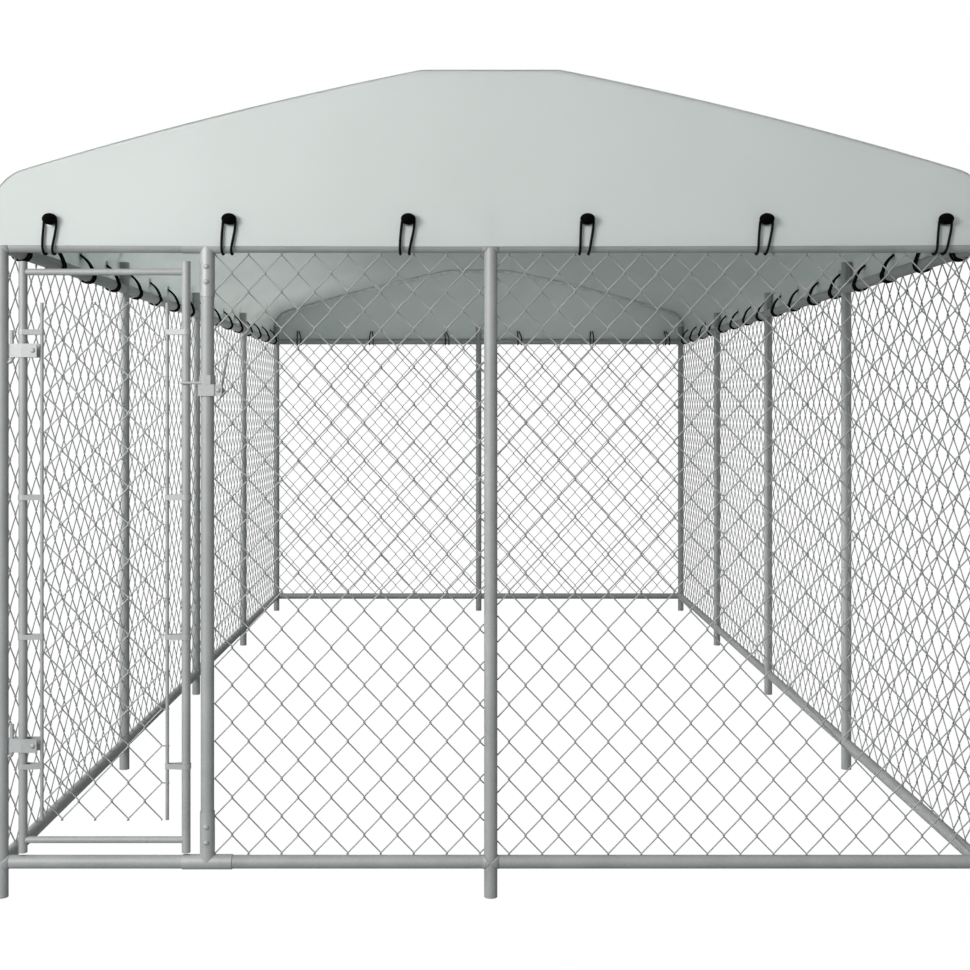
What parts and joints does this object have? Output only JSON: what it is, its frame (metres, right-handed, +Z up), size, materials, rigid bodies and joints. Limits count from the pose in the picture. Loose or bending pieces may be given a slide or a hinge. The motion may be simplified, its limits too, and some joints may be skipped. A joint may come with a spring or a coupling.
{
  "type": "outdoor dog kennel run",
  "caption": "Walk-in outdoor dog run: galvanised tube frame, chain-link walls, a hinged latch door and an arched tarpaulin roof tied down with ball bungees.",
  "frame": {"origin": "on the ground in the middle of the plan", "axes": "+Z up, +Y along the run from the door's end to the back, +X to the right seen from the door's end"},
  "size_m": [2.9106, 5.7106, 2.3623],
  "materials": {
    "tube": "satin",
    "wire": "satin",
    "hardware": "satin",
    "plug": "matte",
    "tarpaulin": "matte",
    "eyelet": "satin",
    "cord": "matte",
    "ball": "satin"
  },
  "bodies": {
    "run_frame": {"post_front_left": "tube", "post_front_middle": "tube", "post_front_right": "tube", "post_left_1": "tube", "post_left_2": "tube", "post_left_3": "tube", "post_right_1": "tube", "post_right_2": "tube", "post_right_3": "tube", "post_back_left": "tube", "post_back_middle": "tube", "post_back_right": "tube", "door_post": "tube", "front_top_rails": "tube", "front_bottom_rails": "tube", "back_top_rails": "tube", "back_bottom_rails": "tube", "left_top_rails": "tube", "left_bottom_rails": "tube", "right_top_rails": "tube", "right_bottom_rails": "tube", "roof_bow_front": "tube", "roof_bow_back": "tube", "front_chain_link": "wire", "back_chain_link": "wire", "left_chain_link": "wire", "right_chain_link": "wire", "tee_top": "hardware", "tee_bottom": "hardware", "tee_bolts": "hardware", "tee_nuts": "hardware", "hinge_pins": "hardware", "hinge_pin_nuts": "hardware", "latch_clamp": "hardware", "latch_bolt": "hardware", "latch_nut": "hardware", "gate_stop": "hardware", "bow_sockets": "plug", "post_caps": "plug", "canopy_roof": "tarpaulin", "canopy_front": "tarpaulin", "canopy_back": "tarpaulin", "eyelets": "eyelet", "bungee_cords": "cord", "bungee_balls": "ball"},
    "door": {"door_hinge_stile": "tube", "door_latch_stile": "tube", "door_top_rail": "tube", "door_bottom_rail": "tube", "door_tension_bars": "tube", "door_tension_bands": "hardware", "door_chain_link": "wire", "hinge_straps": "hardware", "hinge_strap_bolts": "hardware", "hinge_strap_nuts": "hardware"},
    "latch": {"latch_arm": "hardware"}
  },
  "joints": [
    {"name": "door_swing", "type": "hinge", "parent": "run_frame", "child": "door", "pos_m": [-1.371, -2.8, 0.9], "axis": [0, 0, 1], "range_deg": [0, 85]},
    {"name": "latch_drop", "type": "hinge", "parent": "run_frame", "child": "latch", "pos_m": [-0.777, -2.7725, 1.4496], "axis": [0, -1, 0], "range_deg": [0, 100]}
  ]
}
